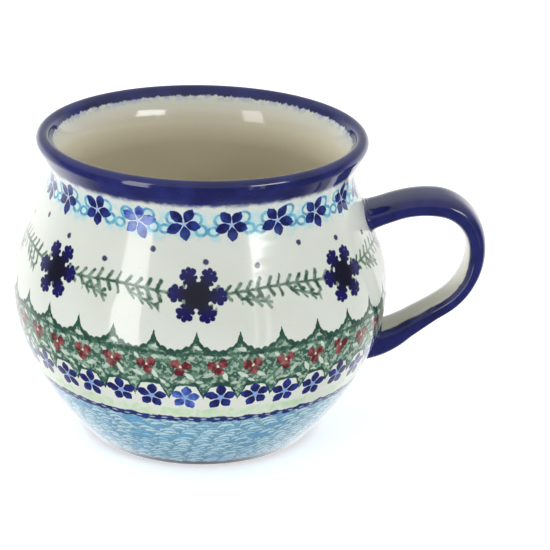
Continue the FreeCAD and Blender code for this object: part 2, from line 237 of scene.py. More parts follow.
def bend(centre, radius, start, end, steps):
    """Points of an arc round `centre`, from angle `start` to angle `end`."""
    turn = (end - start) / steps
    return [centre + radius * Vector((math.cos(start + turn * k), math.sin(start + turn * k)))
            for k in range(steps + 1)]


def straight(start, end, steps):
    """Points of a straight stretch."""
    return [start.lerp(end, k / steps) for k in range(steps + 1)]


class WallShape:
    """The body's wall in section: arcs from the foot over the belly and neck to the flared lip."""

    def __init__(self):
        self.lower = point(BELLY_RADIUS - LOWER_BELLY_ARC, BELLY_HEIGHT)
        self.upper = point(BELLY_RADIUS - UPPER_BELLY_ARC, BELLY_HEIGHT)
        self.neck = point(NECK_RADIUS + NECK_ARC, NECK_HEIGHT)
        self.edge = point(FOOT_RADIUS + FOOT_BEVEL, FOOT_BEVEL)
        # the foot's arc touches the lower belly's arc and ends at the foot's edge
        reach = FOOT_ARC - LOWER_BELLY_ARC
        span = (self.edge - self.lower).length
        along = (reach ** 2 - FOOT_ARC ** 2 + span ** 2) / (2 * span)
        across = math.sqrt(reach ** 2 - along ** 2)
        line = (self.edge - self.lower).normalized()
        self.foot = self.lower + line * along + Vector((line.y, -line.x)) * across
        self.edge_angle = self.angle(self.edge - self.foot)
        self.join_angle = self.angle(self.lower - self.foot)
        # a straight shoulder touches the upper belly's arc and the neck's
        between = self.neck - self.upper
        self.shoulder_angle = self.angle(between) - math.acos(
            (UPPER_BELLY_ARC + NECK_ARC) / between.length)

    @staticmethod
    def angle(vector):
        return math.atan2(vector.y, vector.x)

    def side(self, inset, fine):
        """Points up one face of the wall, `inset` in from the outer face, foot edge to flare."""
        normal = Vector((math.cos(self.shoulder_angle), math.sin(self.shoulder_angle)))
        low = self.upper + normal * (UPPER_BELLY_ARC - inset)
        high = self.neck - normal * (NECK_ARC + inset)
        points = bend(self.foot, FOOT_ARC - inset, self.edge_angle, self.join_angle, 4 * fine)
        points += bend(self.lower, LOWER_BELLY_ARC - inset, self.join_angle, 0, 4 * fine)[1:]
        points += bend(self.upper, UPPER_BELLY_ARC - inset, 0, self.shoulder_angle, 3 * fine)[1:]
        points += straight(low, high, 3 * fine)[1:]
        points += bend(self.neck, NECK_ARC + inset, self.shoulder_angle + math.pi,
                       math.pi - RIM_FLARE, 2 * fine)[1:]
        return points

    def flare(self, inset, fine):
        """Points up the straight lip, `inset` in from its outer face."""
        outward = Vector((math.cos(RIM_FLARE), -math.sin(RIM_FLARE)))
        upward = Vector((math.sin(RIM_FLARE), math.cos(RIM_FLARE)))
        start = self.neck - outward * NECK_ARC
        lip = WALL / 2
        rise = (RIM_HEIGHT - lip - start.y - lip * math.sin(RIM_FLARE)) / math.cos(RIM_FLARE)
        return straight(start - outward * inset, start - outward * inset + upward * rise, fine)

    def section(self, fine):
        """The whole section, from the middle of the base round the outside and down the inside."""
        ring_in = FOOT_RADIUS - FOOT_RING_WIDTH
        outside = self.flare(0, fine)
        inside = self.flare(WALL, fine)
        lip = (outside[-1] + inside[-1]) / 2
        corner_y = FLOOR_HEIGHT + FLOOR_CORNER
        inner_foot = FOOT_ARC - WALL
        drop = self.foot.y - corner_y
        corner = point(self.foot.x + math.sqrt((inner_foot - FLOOR_CORNER) ** 2 - drop ** 2), corner_y)
        corner_angle = self.angle(corner - self.foot)
        points = straight(point(HUB, BASE_HOLLOW), point(ring_in - BASE_HOLLOW, BASE_HOLLOW), 2 * fine)
        points += straight(points[-1], point(ring_in, 0), 3)[1:]
        points += straight(points[-1], point(FOOT_RADIUS, 0), 4)[1:]
        points += straight(points[-1], self.edge, 3)[1:]
        points += self.side(0, fine)[1:] + outside[1:]
        points += bend(lip, WALL / 2, -RIM_FLARE, math.pi - RIM_FLARE, fine)[1:]
        points += list(reversed(inside))[1:]
        inner = [p for p in reversed(self.side(WALL, fine))
                 if p.y > self.foot.y + inner_foot * math.sin(corner_angle)]
        points += inner[1:]
        points += bend(corner, FLOOR_CORNER, corner_angle, -math.pi / 2, fine)
        points += straight(points[-1], point(HUB, FLOOR_HEIGHT), 2 * fine)[1:]
        return points


WALL_SHAPE = WallShape()


def mesh_object(name, vertices, faces, material):
    """A smooth piece, from points in millimetres."""
    mesh = bpy.data.meshes.new(name)
    mesh.from_pydata([v * MM for v in vertices], [], faces)
    mesh.validate()
    mesh.update()
    for face in mesh.polygons:
        face.use_smooth = True
    mesh.materials.append(material)
    piece = bpy.data.objects.new(name, mesh)
    bpy.context.collection.objects.link(piece)
    return piece


def mark(piece, name, values):
    """Keep one number for each vertex, for the piece's material to read."""
    layer = piece.data.attributes.new(name, "FLOAT", "POINT")
    layer.data.foreach_set("value", values)


# --- thrown body -----------------------------------------------------------------------------

def thrown(place):
    """Move a point of the body's surface the little that a hand on the wheel leaves it off true."""
    angle = math.atan2(place.y, place.x)
    radius = math.hypot(place.x, place.y)
    lean = noise.noise(Vector((math.cos(angle) * 0.8, math.sin(angle) * 0.8, place.z * 0.015)))
    rings = noise.noise(Vector((place.z * 0.45, 3.7, angle * 0.12)))
    keep = max(0.0, min(1.0, (place.z - TRIMMED) / (UNTRIMMED - TRIMMED)))
    off = 1 - keep * (LEAN * (1 + lean) + RINGS * (1 + rings))
    return Vector((place.x * off, place.y * off, place.z))


def make_body(material):
    """The section turned round the axis; each point knows its way along the glaze from the foot's edge."""
    around = BODY_AROUND
    section = WALL_SHAPE.section(SECTION_STEPS)
    vertices = []
    for p in section:
        for k in range(around):
            angle = 2 * math.pi * k / around
            vertices.append(thrown(Vector((p.x * math.cos(angle), p.x * math.sin(angle), p.y))))
    faces = []
    rows = len(section)
    runs = [0.0]
    for before, after in zip(section, section[1:]):
        runs.append(runs[-1] + (after - before).length)
    edge = min(range(rows), key=lambda row: (section[row] - WALL_SHAPE.edge).length)
    run_at = [runs[row] - runs[edge] for row in range(rows) for k in range(around)]
    run_at += [run_at[0], run_at[-1]]
    for row in range(rows - 1):
        for k in range(around):
            after = (k + 1) % around
            a, b = row * around + k, row * around + after
            faces.append((a, b, b + around, a + around))
    base, floor = len(vertices), len(vertices) + 1
    vertices += [Vector((0, 0, BASE_HOLLOW)), Vector((0, 0, FLOOR_HEIGHT))]
    last = (rows - 1) * around
    for k in range(around):
        after = (k + 1) % around
        faces.append((base, after, k))
        faces.append((floor, last + k, last + after))
    body = mesh_object("thrown_body", vertices, faces, material)
    mark(body, "run", run_at)
    return body


# --- the outer face, for what joins it -------------------------------------------------------

def wall_outline():
    """(height, radius) of the body's outer face, low to high."""
    side = WALL_SHAPE.side(0, SECTION_STEPS) + WALL_SHAPE.flare(0, SECTION_STEPS)[1:]
    return [(p.y, p.x) for p in side]


OUTLINE = wall_outline()


def wall_radius(height):
    """Radius of the body's outer face at a height."""
    for (low, r0), (high, r1) in zip(OUTLINE, OUTLINE[1:]):
        if height <= high:
            return r0 + (r1 - r0) * (height - low) / (high - low)
    return OUTLINE[-1][1]


def above_wall(place):
    """How far a point stands outside the body's outer face, level with it."""
    return math.hypot(place.x, place.y) - wall_radius(place.z)


def on_wall(place, lift):
    """The point of the outer face level with `place`, lifted off it by `lift`."""
    radius = math.hypot(place.x, place.y)
    reach = (wall_radius(place.z) + lift) / radius
    return Vector((place.x * reach, place.y * reach, place.z))


# --- strap handle ----------------------------------------------------------------------------

def strap_length():
    """Length of the strap's centre line."""
    return sum(radius * math.radians(turn) if turn else radius for radius, turn in STRAP_RUNS)


def strap_line(steps, spare=0.0):
    """Places of the strap's centre line: (point, heading, share of its length).

    They are evenly spaced, and the last one is `spare` past the end.
    """
    total = strap_length()
    line = []
    for step in range(steps + 1):
        left = (total + spare) * step / steps
        share = left / total
        here = Vector(STRAP_START)
        heading = math.radians(STRAP_HEADING)
        for radius, turn in STRAP_RUNS:
            if turn:
                part = min(left, radius * math.radians(turn))
                after = heading - part / radius
                here = here + radius * Vector((math.sin(heading) - math.sin(after),
                                               math.cos(after) - math.cos(heading)))
                heading = after
            else:
                part = min(left, radius)
                here = here + part * Vector((math.cos(heading), math.sin(heading)))
            left -= part
        here = here + left * Vector((math.cos(heading), math.sin(heading)))
        line.append((here, heading, share))
    return line


def strap_size(share):
    """Width and thickness of the strap. Past its end, inside the wall, it keeps the CAD's full size."""
    for (low, w0, t0), (high, w1, t1) in zip(STRAP_TAPER, STRAP_TAPER[1:]):
        if share <= high:
            mix = (share - low) / (high - low)
            return (STRAP_WIDTH * (w0 + (w1 - w0) * mix) * STRAP_SHRINK,
                    STRAP_THICKNESS * (t0 + (t1 - t0) * mix) * STRAP_SHRINK)
    return STRAP_WIDTH * STRAP_TAPER[-1][1], STRAP_THICKNESS * STRAP_TAPER[-1][2]


def strap_point(here, heading, share, turn):
    """A point of the strap's skin: `turn` goes round the section from its outer face."""
    width, thick = strap_size(share)
    across = math.sin(turn)
    out = math.cos(turn)
    power = 2 / STRAP_SQUARENESS
    side = math.copysign(abs(across) ** power, across) * width / 2
    up = math.copysign(abs(out) ** power, out) * thick / 2
    normal = Vector((-math.sin(heading), math.cos(heading)))
    flat = here + normal * up
    return Vector((flat.x, side, flat.y))


def make_handle(material):
    """The strap, with both ends cut off inside the wall; "inner" is 1 on the inside of the loop."""
    around = STRAP_AROUND
    line = strap_line(STRAP_STEPS, spare=STRAP_SPARE)
    vertices, faces = [], []
    for here, heading, share in line:
        for k in range(around):
            place = strap_point(here, heading, share, 2 * math.pi * k / around)
            vertices.append(place if above_wall(place) > -ROOT_DEPTH else on_wall(place, -ROOT_DEPTH))
    for row in range(len(line) - 1):
        for k in range(around):
            a, b = row * around + k, row * around + (k + 1) % around
            faces.append((a, b, b + around, a + around))
    faces.append(tuple(reversed(range(around))))
    faces.append(tuple(range((len(line) - 1) * around, len(line) * around)))
    strap = mesh_object("strap", vertices, faces, material)
    mark(strap, "inner", [(1 - math.cos(2 * math.pi * k / around)) / 2 for _ in line for k in range(around)])
    return strap


# --- slip joints -----------------------------------------------------------------------------

STRAP_STATIONS = strap_line(STATIONS)


def strap_at(share, turn):
    """The strap's skin at any share of its length, between the stations of its line."""
    place = share * (len(STRAP_STATIONS) - 1)
    low = min(int(place), len(STRAP_STATIONS) - 2)
    here, heading, at = STRAP_STATIONS[low]
    there, onward, to = STRAP_STATIONS[low + 1]
    mix = place - low
    return strap_point(here, heading, at, turn).lerp(strap_point(there, onward, to, turn), mix)


def meeting_share(turn, outside, inside):
    """Where along the strap its skin passes through the wall, between two shares."""
    for _ in range(30):
        middle = (outside + inside) / 2
        if above_wall(strap_at(middle, turn)) > 0:
            outside = middle
        else:
            inside = middle
    return outside


def make_slip(name, outside, inside, climb, spread, material):
    """A fillet of slip round a strap's root: a closed ring with a hollow outer face."""
    around, steps = SLIP_AROUND, SLIP_STEPS
    total = strap_length()
    away = math.copysign(1.0, outside - inside)
    rings = []
    for k in range(around):
        turn = 2 * math.pi * k / around
        share = meeting_share(turn, outside, inside)
        root = strap_at(share, turn)
        middle = (strap_at(share, 0) + strap_at(share, math.pi)) / 2
        around_root = Vector((math.cos(turn) * 1.6, math.sin(turn) * 1.6, outside * 9))
        wander = 1 + SLIP_UNEVEN * noise.noise(around_root)
        top = strap_at(share + away * climb * wander / total, turn)
        push = (top - middle).normalized() * SLIP_ON_STRAP
        outward = root - middle
        foot = on_wall(root + outward.normalized() * spread * wander, SLIP_ON_WALL)
        corner = on_wall(root, SLIP_CORNER)
        ring = []
        for step in range(steps + 1):
            u = step / steps
            ring.append((top + push) * (1 - u) ** 2 + corner * 2 * u * (1 - u) + foot * u ** 2)
        # the ring closes inside the wall and inside the strap
        deep = on_wall(root + outward.normalized() * spread * 0.6, -SLIP_DEPTH)
        core = strap_at(share - away * 0.3 / total, turn).lerp(middle, 0.18)
        high = strap_at(share + away * climb * 0.6 / total, turn).lerp(middle, 0.12)
        ring += [deep, core, high]
        rings.append(ring)
    count = len(rings[0])
    vertices = [p for ring in rings for p in ring]
    faces = []
    for k in range(around):
        for step in range(count):
            a, b = k * count + step, k * count + (step + 1) % count
            c, d = ((k + 1) % around) * count + step, ((k + 1) % around) * count + (step + 1) % count
            faces.append((a, c, d, b) if away > 0 else (a, b, d, c))
    return mesh_object(name, vertices, faces, material)


# --- painting with nodes ---------------------------------------------------------------------

class Value:
    """A number that the material works out at each point of a surface. Arithmetic adds Math nodes."""

    def __init__(self, tree, socket):
        self.tree = tree
        self.socket = socket

    def math(self, operation, *others, clamp=False):
        """What one Math node makes of this value and others."""
        node = self.tree.nodes.new("ShaderNodeMath")
        node.operation = operation
        node.use_clamp = clamp
        for slot, item in zip(node.inputs, (self, *others)):
            feed(self.tree, slot, item)
        return Value(self.tree, node.outputs[0])

    def __add__(self, other):
        return self.math("ADD", other)

    def __sub__(self, other):
        return self.math("SUBTRACT", other)

    def __rsub__(self, other):
        return self.math("MULTIPLY_ADD", -1.0, other)

    def __mul__(self, other):
        return self.math("MULTIPLY", other)

    def __abs__(self):
        return self.math("ABSOLUTE")

    def times_plus(self, factor, offset):
        return self.math("MULTIPLY_ADD", factor, offset)

    def least(self, *others):
        lowest = self
        for other in others:
            lowest = lowest.math("MINIMUM", other)
        return lowest

    def most(self, *others):
        highest = self
        for other in others:
            highest = highest.math("MAXIMUM", other)
        return highest

    def soft(self, low, high):
        """0 below `low`, 1 above `high`, a smooth slope between; `low` may be above `high`."""
        node = self.tree.nodes.new("ShaderNodeMapRange")
        node.interpolation_type = "SMOOTHSTEP"
        feed(self.tree, node.inputs["Value"], self)
        feed(self.tree, node.inputs["From Min"], low)
        feed(self.tree, node.inputs["From Max"], high)
        return Value(self.tree, node.outputs["Result"])

    def within(self, edge):
        """1 where a distance is below 0, with an edge `edge` millimetres wide."""
        return self.soft(edge / 2, -edge / 2)


def feed(tree, slot, item):
    """Link a value or socket to a node's slot, or set the slot to a number."""
    if isinstance(item, Value):
        tree.links.new(item.socket, slot)
    elif isinstance(item, bpy.types.NodeSocket):
        tree.links.new(item, slot)
    else:
        slot.default_value = item


def linear(*colour):
    """A colour given as 0 to 255 display values, in the renderer's linear values."""
    parts = [c / 255 for c in colour]
    return (*[p / 12.92 if p <= 0.04045 else ((p + 0.055) / 1.055) ** 2.4 for p in parts], 1.0)


class Painter:
    """Lays inks over each other on a piece whose material it builds."""

    def __init__(self, name, ground):
        self.material = bpy.data.materials.new(name)
        self.material.use_nodes = True
        self.tree = self.material.node_tree
        self.shader = self.tree.nodes["Principled BSDF"]
        self.colour = linear(*ground)
        here = self.tree.nodes.new("ShaderNodeTexCoord").outputs["Object"]
        self.place = self.vector("MULTIPLY", here, (1 / MM, 1 / MM, 1 / MM))
        self.x, self.y, self.z = self.split(self.place)

    def vector(self, operation, *items, output="Vector"):
        node = self.tree.nodes.new("ShaderNodeVectorMath")
        node.operation = operation
        slots = [slot for slot in node.inputs if slot.type == "VECTOR"]
        for slot, item in zip(slots, items):
            feed(self.tree, slot, item)
        return node.outputs[output]

    def split(self, vector):
        """The three values of a vector."""
        node = self.tree.nodes.new("ShaderNodeSeparateXYZ")
        feed(self.tree, node.inputs[0], vector)
        return [Value(self.tree, out) for out in node.outputs]

    def join(self, x, y):
        """The vector (x, y, 0)."""
        node = self.tree.nodes.new("ShaderNodeCombineXYZ")
        feed(self.tree, node.inputs[0], x)
        feed(self.tree, node.inputs[1], y)
        return node.outputs[0]

    def attribute(self, name):
        """The number that `mark` kept for each vertex."""
        node = self.tree.nodes.new("ShaderNodeAttribute")
        node.attribute_name = name
        return Value(self.tree, node.outputs["Fac"])

    def noise(self, scale, detail, where=None, colour=False, stretch=None):
        """Cloudy noise, `scale` waves to the millimetre."""
        node = self.tree.nodes.new("ShaderNodeTexNoise")
        if where is None:
            where = self.place
        if stretch:
            where = self.vector("MULTIPLY", where, stretch)
        feed(self.tree, node.inputs["Vector"], where)
        node.inputs["Scale"].default_value = scale
        node.inputs["Detail"].default_value = detail
        return node.outputs["Color"] if colour else Value(self.tree, node.outputs["Fac"])

    def chance(self, first, second=None):
        """Random numbers that belong to one or two whole numbers: (colour socket, one value)."""
        node = self.tree.nodes.new("ShaderNodeTexWhiteNoise")
        node.noise_dimensions = "2D"
        feed(self.tree, node.inputs["Vector"], self.join(first, 0.0 if second is None else second))
        return node.outputs["Color"], Value(self.tree, node.outputs["Value"])

    def lay(self, mask, ink):
        """Cover the colour so far with `ink` where `mask` is 1."""
        node = self.tree.nodes.new("ShaderNodeMix")
        node.data_type = "RGBA"
        feed(self.tree, node.inputs["Factor"], mask)
        socket = [s for s in node.inputs if s.type == "RGBA"]
        feed(self.tree, socket[0], self.colour)
        feed(self.tree, socket[1], ink if not isinstance(ink, tuple) else linear(*ink))
        self.colour = [s for s in node.outputs if s.type == "RGBA"][0]

    def blend(self, share, first, second):
        """A colour between two display colours."""
        node = self.tree.nodes.new("ShaderNodeMix")
        node.data_type = "RGBA"
        feed(self.tree, node.inputs["Factor"], share)
        socket = [s for s in node.inputs if s.type == "RGBA"]
        for slot, ink in zip(socket, (first, second)):
            feed(self.tree, slot, linear(*ink) if isinstance(ink, tuple) else ink)
        return [s for s in node.outputs if s.type == "RGBA"][0]

    def spot(self, where, centre, radius):
        """Distance in millimetres to a round spot's edge."""
        return Value(self.tree, self.vector("DISTANCE", where, (*centre, 0.0), output="Value")) - radius

    def stroke(self, where, start, end, half_width):
        """Distance to the edge of a straight brush stroke with round ends."""
        run = (end[0] - start[0], end[1] - start[1], 0.0)
        reach = run[0] ** 2 + run[1] ** 2
        away = self.vector("SUBTRACT", where, (*start, 0.0))
        along = Value(self.tree, self.vector(
            "DOT_PRODUCT", away, (run[0] / reach, run[1] / reach, 0.0), output="Value"))
        along = along.math("ADD", 0.0, clamp=True)      # only between the stroke's two ends
        spread = self.vector("MULTIPLY", self.join(along, along), run)
        return Value(self.tree, self.vector("DISTANCE", away, spread, output="Value")) - half_width


def cells_round(painter, row):
    """Place round the body in stamps of the row: each whole number is where a stamp's share begins."""
    return painter.azimuth.times_plus(row.count / (2 * math.pi), 0.5 - row.first * row.count / 360)


class Stamp:
    """Local millimetre axes of the nearest stamp of a row that runs round the body.

    A stamp is set down up to `turn` degrees askew and `slip` / 2 millimetres off its place.
    """

    def __init__(self, painter, row, seed, turn, slip):
        self.painter = painter
        pitch = 2 * math.pi * row.radius / row.count
        cells = cells_round(painter, row)
        self.index = cells.math("FLOOR").math("WRAP", float(row.count), 0.0)
        colour, self.luck = painter.chance(self.index + seed)
        x = (cells.math("FRACT") - 0.5) * pitch
        y = painter.run - row.height
        where = painter.vector("ADD", painter.join(x, y), painter.waver)
        shift = painter.vector("MULTIPLY_ADD", colour, (slip, slip, 0.0), (-slip / 2, -slip / 2, 0.0))
        where = painter.vector("ADD", where, shift)
        if turn:
            node = painter.tree.nodes.new("ShaderNodeVectorRotate")
            node.rotation_type = "Z_AXIS"
            feed(painter.tree, node.inputs["Vector"], where)
            angle = self.luck.times_plus(math.radians(2 * turn), -math.radians(turn))
            feed(painter.tree, node.inputs["Angle"], angle)
            where = node.outputs[0]
        self.where = where
        self.x, self.y, _ = painter.split(where)

    def star(self, count, turn):
        """A star of `count` arms: angle, distance out along the nearest arm, beside it, from the middle."""
        angle = self.y.math("ARCTAN2", self.x) - math.radians(turn)
        away = Value(self.painter.tree, self.painter.vector("LENGTH", self.where, output="Value"))
        folded = angle.math("PINGPONG", math.pi / count)
        return angle, away * folded.math("COSINE"), away * folded.math("SINE"), away

    def petals(self, count, turn, inner, outer, half_width, uneven):
        """Mask of pointed petals, the share (0 to 1) of the way out along each, distance from the middle."""
        angle, out, beside, away = self.star(count, turn)
        share = (out - inner) * (1 / (outer - inner))
        which = (angle * (count / (2 * math.pi)) + 0.5).math("FLOOR")
        _, luck = self.painter.chance(which, self.index)
        share = share * luck.times_plus(-uneven, 1 + uneven / 2)
        width = share * (1 - share) * 4
        mask = (width * half_width - beside).soft(-0.11, 0.11)
        return mask, share, away


def flower(p, stamp, turn, inner, outer, half_width, light, centre, core):
    """A flower of brushed petals, darker at their root, round a pale heart of radius `core`."""
    petals, share, away = stamp.petals(PETALS, turn, inner, outer, half_width, PETAL_UNEVEN)
    heart = (away - core).within(0.5)
    p.lay(heart * 0.8, centre)
    ink = p.blend((share + (p.cloud - 0.5) * 1.3).soft(0.15, 1.15), NAVY, light)
    # every seventh flower's petals are laid in a paler, clouded blue: a painted highlight
    highlit_flower = (stamp.index * (1 / HIGHLIGHT_EVERY)).math("FRACT").math("GREATER_THAN", 0.8)
    highlight_share = highlit_flower * p.cloud.soft(1.1, 0.1) * 0.85
    p.lay(petals, p.blend(highlight_share, ink, HIGHLIGHT_PETAL))


def paint_neck(p):
    """Turquoise scrolls and dark blue flowers round the neck."""
    wash = abs(p.run - NECK_ROW.height + (p.cloud - 0.5) * 2.5).soft(5.2, 2.6)
    p.lay(wash * p.cloud.soft(0.2, 0.7) * 0.7, TURQUOISE_WASH)
    between = NECK_ROW._replace(first=NECK_ROW.first + 180 / NECK_ROW.count, height=NECK_ROW.height - 0.3)
    scroll = Stamp(p, between, seed=11, turn=10, slip=0.6)
    ring_a = abs(p.spot(p.vector("MULTIPLY", scroll.where, (1.0, 1.1, 0)), (-1.75, -1.2), 1.5)) - 0.46
    ring_b = abs(p.spot(p.vector("MULTIPLY", scroll.where, (1.0, 1.25, 0)), (1.6, -1.5), 1.4)) - 0.44
    curl_a = abs(p.spot(scroll.where, (-3.6, 1.9), 1.7)) - 0.42
    curl_b = abs(p.spot(scroll.where, (3.3, 2.0), 1.6)) - 0.42
    fill = p.spot(scroll.where, (-1.7, -0.5), 1.4).least(p.spot(scroll.where, (1.5, -0.7), 1.2))
    p.lay(fill.within(0.8) * 0.8, TURQUOISE_FILL)
    lines = ring_a.least(ring_b, curl_a, curl_b)
    p.lay(lines.within(0.45) * 0.95, p.blend(p.cloud.soft(0.2, 1.0), *TURQUOISE_LINE))
    bloom = Stamp(p, NECK_ROW, seed=31, turn=16, slip=0.5)
    p.lay(p.spot(bloom.where, (0.0, 0.0), 3.0).within(1.6) * 0.55, NECK_HALO)
    flower(p, bloom, turn=70, inner=0.5, outer=4.85, half_width=1.45,
           light=NECK_PETAL, centre=NECK_HEART, core=1.0)


def paint_dots(p):
    """Loose navy dots above the garland, at three heights by turns."""
    step = (cells_round(p, DOT_ROW).math("FLOOR") * (-2 * math.pi / 3)).math("SINE") * 2.45
    dots = Stamp(p, DOT_ROW._replace(height=step + DOT_ROW.height), seed=47, turn=0, slip=1.0)
    p.lay(p.spot(dots.where, (0.0, 0.0), 0.82).within(0.4) * 0.95, DOT_INK)


def needles(p, x, y, pitch, seed, length, half_width):
    """Distance to short twigs that leave a stem along y = 0 both ways, leaning to +x."""
    cells = x * (1 / pitch)
    colour, luck = p.chance(cells.math("FLOOR") + seed)
    where = p.join((cells.math("FRACT") - 0.5) * pitch, y * luck.times_plus(-0.35, 1.2))
    lean = p.vector("MULTIPLY_ADD", colour, (0.6, 0.0, 0.0), (-0.3, 0.0, 0.0))
    leaning = p.vector("ADD", where, p.vector("MULTIPLY", lean, p.join(abs(y) * 0.5, 0.0)))
    up = p.stroke(leaning, (-0.85, 0.0), (0.6, length), half_width)
    down = p.stroke(leaning, (-0.55, 0.0), (0.95, -length * 0.95), half_width)
    return up.least(down)


def paint_garland(p):
    """A stem of evergreen twigs that links the snowflakes, with side sprigs that slant down from it."""
    bed = Stamp(p, FLAKE_ROW, seed=61, turn=0, slip=0.0)
    wave = (abs(bed.x) * (math.pi / 23)).math("COSINE")
    stem_y = bed.y + wave * 0.75 - 0.85
    stem = abs(stem_y) - 0.42
    twigs = needles(p, bed.x, stem_y, pitch=3.1, seed=5, length=2.35, half_width=0.54)
    along = (bed.x * (1 / 15.4) + 0.28).math("FRACT")
    side_y = stem_y + 1.7 + along * 4.4
    side = needles(p, bed.x + 1.3, side_y, pitch=2.7, seed=25, length=1.3, half_width=0.46)
    side = side.least(abs(side_y) - 0.42)
    shown = along.soft(0.03, 0.06) * along.soft(0.62, 0.58)
    green = p.blend(p.cloud.soft(0.3, 1.0), *PINE)
    p.lay((abs(bed.y + 0.4) - 3.4).within(2.0) * 0.25, PINE_HALO)
    p.lay(stem.least(twigs).within(0.45) * p.density, green)
    p.lay(side.within(0.45) * shown * p.density, green)


def paint_snowflakes(p):
    """Cobalt snowflakes of six knobbly arms, nearly black in the middle."""
    flake = Stamp(p, FLAKE_ROW, seed=71, turn=3, slip=0.8)
    _, out, beside, away = flake.star(6, 0)
    arm = p.join(out, beside)
    bar = (beside - 1.5).most(out - 7.0)
    nub = p.spot(arm, (4.6, 1.6), 0.62)
    lobe = p.spot(arm, (6.3, 1.6), 0.95)
    tip = p.spot(arm, (7.4, 0.7), 0.78)
    shape = (away - 3.7).least(bar, nub, lobe, tip)
    ink = p.blend(away.soft(2.5, 7.0), *FLAKE)
    p.lay(shape.within(0.3), ink)


def paint_lace(p):
    """Green lace: arches with a spike each, leaves and red berries, and a hem of points."""
    arch = Stamp(p, ARCH_ROW, seed=83, turn=0, slip=0.4)
    side = abs(arch.x)
    rise = (1 - side * (1 / 5.95)).most(0.0).math("POWER", 1.8)
    scallop = abs((side * 1.55).math("SINE")) * 0.55
    top = (rise * 3.1 + 49.6 + scallop).most(side * -3.2 + 55.4)
    hem = Stamp(p, HEM_ROW, seed=97, turn=0, slip=0.4)
    hem_side = abs(hem.x)
    low = (hem_side * hem_side * -0.05 + 38.7).least((4.75 - hem_side) * 2.1 + 34.0)
    below_top = top - arch.y
    above_low = hem.y - low
    inside = below_top.least(above_low).soft(-0.1, 0.25)
    p.lay(inside, p.blend(p.cloud.soft(0.3, 0.8), *LACE_GREEN))
    squiggle = p.noise(0.95, 1.0, where=p.vector("ADD", p.place, p.waver))
    p.lay(inside * squiggle.soft(0.51, 0.60) * 0.6, LACE_PALE)
    p.lay(inside * abs(squiggle - 0.44).soft(0.045, 0.0) * 0.7, LACE_VEIN)
    for leaf_row in LEAF_ROWS:
        leaves(p, inside, *leaf_row)
    dark = p.blend(p.cloud, *LACE_LINE)
    line = (below_top - 1.55 + (p.cloud - 0.5) * 0.9).soft(0.35, -0.3) * inside
    inner_arc = abs(arch.y - 48.9 + side * side * 0.012).soft(0.55, 0.25) * inside
    edge = (above_low - 1.2 + (p.cloud - 0.5) * 1.2).soft(0.3, -0.3) * inside
    spike = (arch.y - 51.6 + (p.cloud - 0.5) * 1.2).soft(-0.3, 0.5) * inside
    p.lay(line.most(inner_arc * 0.8, edge, spike), dark)
    bead = Stamp(p, BEAD_ROW, seed=131, turn=0, slip=0.4)
    p.lay(p.spot(bead.where, (0.0, 0.0), 0.6).within(0.5) * 0.8, BEAD)
    berries = Stamp(p, BERRY_ROW, seed=137, turn=14, slip=0.7)
    p.lay(p.spot(berries.where, (0.0, 0.2), 1.5).within(1.0) * 0.6, BERRY_HALO)
    worn = p.vector("ADD", berries.where, p.vector("MULTIPLY", p.waver, (1.6, 1.6, 0.0)))
    trio = p.spot(worn, (-1.5, 0.85), 1.36).least(
        p.spot(worn, (1.55, 0.9), 1.36), p.spot(worn, (0.05, -1.35), 1.38))
    p.lay(trio.within(0.3) * p.density, p.blend(p.cloud.soft(0.3, 0.75), *BERRY_RED))
    p.lay(p.spot(berries.where, (0.05, 0.3), 0.34).within(0.3), BERRY_HEART)


def leaves(p, inside, row, seed, turn, length, half_width):
    """A row of pale leaf marks, each leaning its own way."""
    leaf = Stamp(p, row, seed, turn=turn, slip=0.9)
    across = abs(leaf.y)
    shape = across - (1 - leaf.x * leaf.x * (1 / length ** 2)) * half_width
    p.lay(shape.within(0.3) * inside * leaf.luck.times_plus(0.45, 0.4), LEAF_MARK)


def paint_small_flowers(p):
    """A row of blue flowers under the lace."""
    bloom = Stamp(p, LOWER_ROW, seed=151, turn=9, slip=0.7)
    p.lay(p.spot(bloom.where, (0.0, 0.0), 3.3).within(1.4) * 0.7, LOWER_HALO)
    flower(p, bloom, turn=90, inner=0.7, outer=4.4, half_width=1.42,
           light=LOWER_PETAL, centre=LOWER_HEART, core=1.6)


def paint_hem_lines(p):
    """A brushed pale green band, and below it a navy chain with small open links."""
    streaks = p.noise(0.5, 2.0, stretch=(1.0, 1.0, 0.12))
    band = abs(p.run - GREEN_BAND_HEIGHT + (p.cloud - 0.5) * 1.6).soft(2.1, 0.9)
    p.lay(band * streaks.soft(0.25, 0.6) * 0.85, p.blend(p.cloud, *GREEN_BAND))
    sway = (p.azimuth * 38).math("SINE") * 0.22
    chain = abs(p.run - CHAIN_HEIGHT + sway) - p.cloud.times_plus(0.8, 0.75)
    p.lay(chain.within(0.4), p.blend(p.cloud, *CHAIN_NAVY))
    link = Stamp(p, LINK_ROW, seed=163, turn=8, slip=0.25)
    hole = p.spot(p.vector("MULTIPLY", link.where, (0.36, 1.0, 0.0)), (0.0, 0.1), 0.29)
    p.lay(hole.within(0.25) * 0.65, LINK_HOLE)


